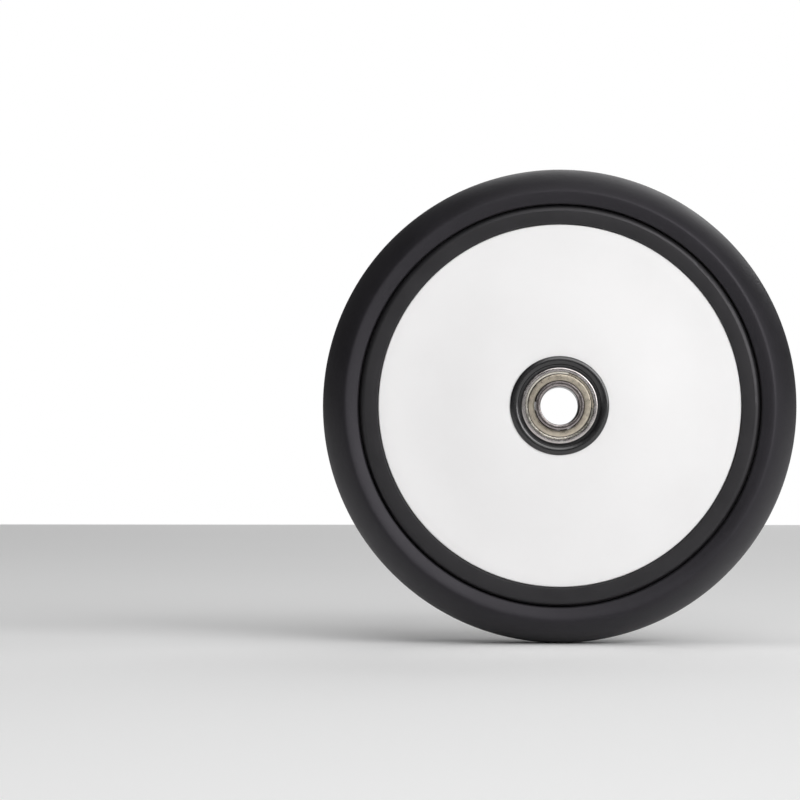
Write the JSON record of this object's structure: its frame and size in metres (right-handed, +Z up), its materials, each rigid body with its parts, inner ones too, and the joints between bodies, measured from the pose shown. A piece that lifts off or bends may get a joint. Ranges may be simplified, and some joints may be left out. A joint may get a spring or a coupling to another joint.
{
  "type": "caster wheel",
  "caption": "Solid black tyre on a black rim with white cover discs and a shielded ball-bearing hub with a through bore.",
  "frame": {"origin": "on the axle line, midway between the tyre's two sides", "axes": "+Y along the axle towards the inboard side, where the hub is sunk; the outboard side faces -Y; +Z up"},
  "size_m": [0.1, 0.024, 0.1],
  "materials": {
    "tyre_foam_rubber": "matt, fine grain",
    "black_moulding": "satin",
    "white_cover": "smooth, low sheen",
    "gloss_black": "glossy",
    "ground_steel": "ground, turned lines",
    "ball_steel": "polished",
    "shield_nickel": "warm nickel",
    "snap_ring_steel": "bright",
    "cage_polymer": "smooth",
    "spacer_aluminium": "turned"
  },
  "bodies": {
    "axle_stack": {"outboard_inner_ring": "ground_steel", "inboard_inner_ring": "ground_steel", "bearing_spacer": "spacer_aluminium"},
    "wheel": {"tyre": "tyre_foam_rubber", "wheel_core": "black_moulding", "outboard_cover": "white_cover", "inboard_cover": "white_cover", "outboard_hub_ring": "gloss_black", "inboard_hub_ring": "gloss_black", "outboard_outer_ring": "ground_steel", "outboard_front_shield": "shield_nickel", "outboard_back_shield": "shield_nickel", "outboard_front_snap_ring": "snap_ring_steel", "outboard_back_snap_ring": "snap_ring_steel", "inboard_outer_ring": "ground_steel", "inboard_front_shield": "shield_nickel", "inboard_back_shield": "shield_nickel", "inboard_front_snap_ring": "snap_ring_steel", "inboard_back_snap_ring": "snap_ring_steel"},
    "outboard_cage_body": {"outboard_cage": "cage_polymer"},
    "outboard_ball_1_body": {"outboard_ball_1": "ball_steel"},
    "outboard_ball_2_body": {"outboard_ball_2": "ball_steel"},
    "outboard_ball_3_body": {"outboard_ball_3": "ball_steel"},
    "outboard_ball_4_body": {"outboard_ball_4": "ball_steel"},
    "outboard_ball_5_body": {"outboard_ball_5": "ball_steel"},
    "outboard_ball_6_body": {"outboard_ball_6": "ball_steel"},
    "outboard_ball_7_body": {"outboard_ball_7": "ball_steel"},
    "outboard_ball_8_body": {"outboard_ball_8": "ball_steel"},
    "outboard_ball_9_body": {"outboard_ball_9": "ball_steel"},
    "inboard_cage_body": {"inboard_cage": "cage_polymer"},
    "inboard_ball_1_body": {"inboard_ball_1": "ball_steel"},
    "inboard_ball_2_body": {"inboard_ball_2": "ball_steel"},
    "inboard_ball_3_body": {"inboard_ball_3": "ball_steel"},
    "inboard_ball_4_body": {"inboard_ball_4": "ball_steel"},
    "inboard_ball_5_body": {"inboard_ball_5": "ball_steel"},
    "inboard_ball_6_body": {"inboard_ball_6": "ball_steel"},
    "inboard_ball_7_body": {"inboard_ball_7": "ball_steel"},
    "inboard_ball_8_body": {"inboard_ball_8": "ball_steel"},
    "inboard_ball_9_body": {"inboard_ball_9": "ball_steel"}
  },
  "joints": [
    {"name": "wheel_spin", "type": "hinge", "parent": "axle_stack", "child": "wheel", "pos_m": [0, 0, 0], "axis": [0, 1, 0], "continuous": true},
    {"name": "outboard_cage_orbit", "type": "hinge", "parent": "axle_stack", "child": "outboard_cage_body", "pos_m": [0, -0.0091, 0], "axis": [0, 1, 0], "continuous": true},
    {"name": "outboard_ball_1_spin", "type": "hinge", "parent": "outboard_cage_body", "child": "outboard_ball_1_body", "pos_m": [0.006, -0.0091, 0], "axis": [0, 1, 0], "continuous": true},
    {"name": "outboard_ball_2_spin", "type": "hinge", "parent": "outboard_cage_body", "child": "outboard_ball_2_body", "pos_m": [0.0046, -0.0091, 0.00386], "axis": [0, 1, 0], "continuous": true},
    {"name": "outboard_ball_3_spin", "type": "hinge", "parent": "outboard_cage_body", "child": "outboard_ball_3_body", "pos_m": [0.00104, -0.0091, 0.00591], "axis": [0, 1, 0], "continuous": true},
    {"name": "outboard_ball_4_spin", "type": "hinge", "parent": "outboard_cage_body", "child": "outboard_ball_4_body", "pos_m": [-0.003, -0.0091, 0.0052], "axis": [0, 1, 0], "continuous": true},
    {"name": "outboard_ball_5_spin", "type": "hinge", "parent": "outboard_cage_body", "child": "outboard_ball_5_body", "pos_m": [-0.00564, -0.0091, 0.00205], "axis": [0, 1, 0], "continuous": true},
    {"name": "outboard_ball_6_spin", "type": "hinge", "parent": "outboard_cage_body", "child": "outboard_ball_6_body", "pos_m": [-0.00564, -0.0091, -0.00205], "axis": [0, 1, 0], "continuous": true},
    {"name": "outboard_ball_7_spin", "type": "hinge", "parent": "outboard_cage_body", "child": "outboard_ball_7_body", "pos_m": [-0.003, -0.0091, -0.0052], "axis": [0, 1, 0], "continuous": true},
    {"name": "outboard_ball_8_spin", "type": "hinge", "parent": "outboard_cage_body", "child": "outboard_ball_8_body", "pos_m": [0.00104, -0.0091, -0.00591], "axis": [0, 1, 0], "continuous": true},
    {"name": "outboard_ball_9_spin", "type": "hinge", "parent": "outboard_cage_body", "child": "outboard_ball_9_body", "pos_m": [0.0046, -0.0091, -0.00386], "axis": [0, 1, 0], "continuous": true},
    {"name": "inboard_cage_orbit", "type": "hinge", "parent": "axle_stack", "child": "inboard_cage_body", "pos_m": [0, 0.0068, 0], "axis": [0, 1, 0], "continuous": true},
    {"name": "inboard_ball_1_spin", "type": "hinge", "parent": "inboard_cage_body", "child": "inboard_ball_1_body", "pos_m": [0.006, 0.0068, 0], "axis": [0, 1, 0], "continuous": true},
    {"name": "inboard_ball_2_spin", "type": "hinge", "parent": "inboard_cage_body", "child": "inboard_ball_2_body", "pos_m": [0.0046, 0.0068, 0.00386], "axis": [0, 1, 0], "continuous": true},
    {"name": "inboard_ball_3_spin", "type": "hinge", "parent": "inboard_cage_body", "child": "inboard_ball_3_body", "pos_m": [0.00104, 0.0068, 0.00591], "axis": [0, 1, 0], "continuous": true},
    {"name": "inboard_ball_4_spin", "type": "hinge", "parent": "inboard_cage_body", "child": "inboard_ball_4_body", "pos_m": [-0.003, 0.0068, 0.0052], "axis": [0, 1, 0], "continuous": true},
    {"name": "inboard_ball_5_spin", "type": "hinge", "parent": "inboard_cage_body", "child": "inboard_ball_5_body", "pos_m": [-0.00564, 0.0068, 0.00205], "axis": [0, 1, 0], "continuous": true},
    {"name": "inboard_ball_6_spin", "type": "hinge", "parent": "inboard_cage_body", "child": "inboard_ball_6_body", "pos_m": [-0.00564, 0.0068, -0.00205], "axis": [0, 1, 0], "continuous": true},
    {"name": "inboard_ball_7_spin", "type": "hinge", "parent": "inboard_cage_body", "child": "inboard_ball_7_body", "pos_m": [-0.003, 0.0068, -0.0052], "axis": [0, 1, 0], "continuous": true},
    {"name": "inboard_ball_8_spin", "type": "hinge", "parent": "inboard_cage_body", "child": "inboard_ball_8_body", "pos_m": [0.00104, 0.0068, -0.00591], "axis": [0, 1, 0], "continuous": true},
    {"name": "inboard_ball_9_spin", "type": "hinge", "parent": "inboard_cage_body", "child": "inboard_ball_9_body", "pos_m": [0.0046, 0.0068, -0.00386], "axis": [0, 1, 0], "continuous": true}
  ],
  "couplings": [
    {"joint": "outboard_cage_orbit", "follows": "wheel_spin", "ratio": 0.59921},
    {"joint": "outboard_ball_1_spin", "follows": "wheel_spin", "ratio": 2.4207},
    {"joint": "outboard_ball_2_spin", "follows": "wheel_spin", "ratio": 2.4207},
    {"joint": "outboard_ball_3_spin", "follows": "wheel_spin", "ratio": 2.4207},
    {"joint": "outboard_ball_4_spin", "follows": "wheel_spin", "ratio": 2.4207},
    {"joint": "outboard_ball_5_spin", "follows": "wheel_spin", "ratio": 2.4207},
    {"joint": "outboard_ball_6_spin", "follows": "wheel_spin", "ratio": 2.4207},
    {"joint": "outboard_ball_7_spin", "follows": "wheel_spin", "ratio": 2.4207},
    {"joint": "outboard_ball_8_spin", "follows": "wheel_spin", "ratio": 2.4207},
    {"joint": "outboard_ball_9_spin", "follows": "wheel_spin", "ratio": 2.4207},
    {"joint": "inboard_cage_orbit", "follows": "wheel_spin", "ratio": 0.59921},
    {"joint": "inboard_ball_1_spin", "follows": "wheel_spin", "ratio": 2.4207},
    {"joint": "inboard_ball_2_spin", "follows": "wheel_spin", "ratio": 2.4207},
    {"joint": "inboard_ball_3_spin", "follows": "wheel_spin", "ratio": 2.4207},
    {"joint": "inboard_ball_4_spin", "follows": "wheel_spin", "ratio": 2.4207},
    {"joint": "inboard_ball_5_spin", "follows": "wheel_spin", "ratio": 2.4207},
    {"joint": "inboard_ball_6_spin", "follows": "wheel_spin", "ratio": 2.4207},
    {"joint": "inboard_ball_7_spin", "follows": "wheel_spin", "ratio": 2.4207},
    {"joint": "inboard_ball_8_spin", "follows": "wheel_spin", "ratio": 2.4207},
    {"joint": "inboard_ball_9_spin", "follows": "wheel_spin", "ratio": 2.4207}
  ]
}
